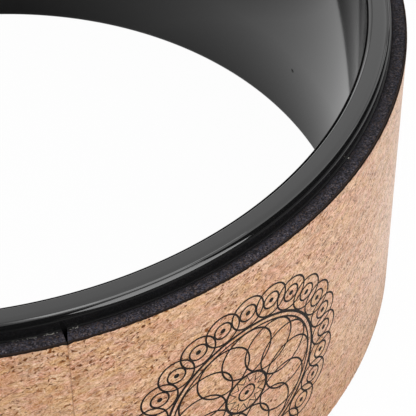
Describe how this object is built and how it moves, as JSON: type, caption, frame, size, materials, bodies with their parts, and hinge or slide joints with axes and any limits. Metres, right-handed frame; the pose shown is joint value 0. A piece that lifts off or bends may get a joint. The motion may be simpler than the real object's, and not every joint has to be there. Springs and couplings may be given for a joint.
{
  "type": "yoga wheel",
  "caption": "Open rigid ring wrapped in a foam strip and a printed cork sheet, rolled under the back to stretch and open it in yoga practice.",
  "frame": {"origin": "centre of the lower rim's plane, on the wheel's axis", "axes": "+Z along the wheel's axis, up, with the wheel lying on one rim; -Y towards the viewer of the picture, with the seam at -82 degrees and the print at -60 degrees from +X about +Z"},
  "size_m": [0.33, 0.33, 0.13],
  "materials": {
    "ring_plastic": "gloss black moulded ABS",
    "tape_film": "black double-sided mounting tape",
    "foam": "matte charcoal closed-cell EVA foam",
    "glue": "dark amber contact adhesive film",
    "cork": "sanded natural cork with a thin dark print"
  },
  "bodies": {
    "root": {"inner_ring": "ring_plastic", "ring_tape": "tape_film", "foam_strip": "foam", "glue_film": "glue", "cork_sheet": "cork"}
  },
  "joints": []
}
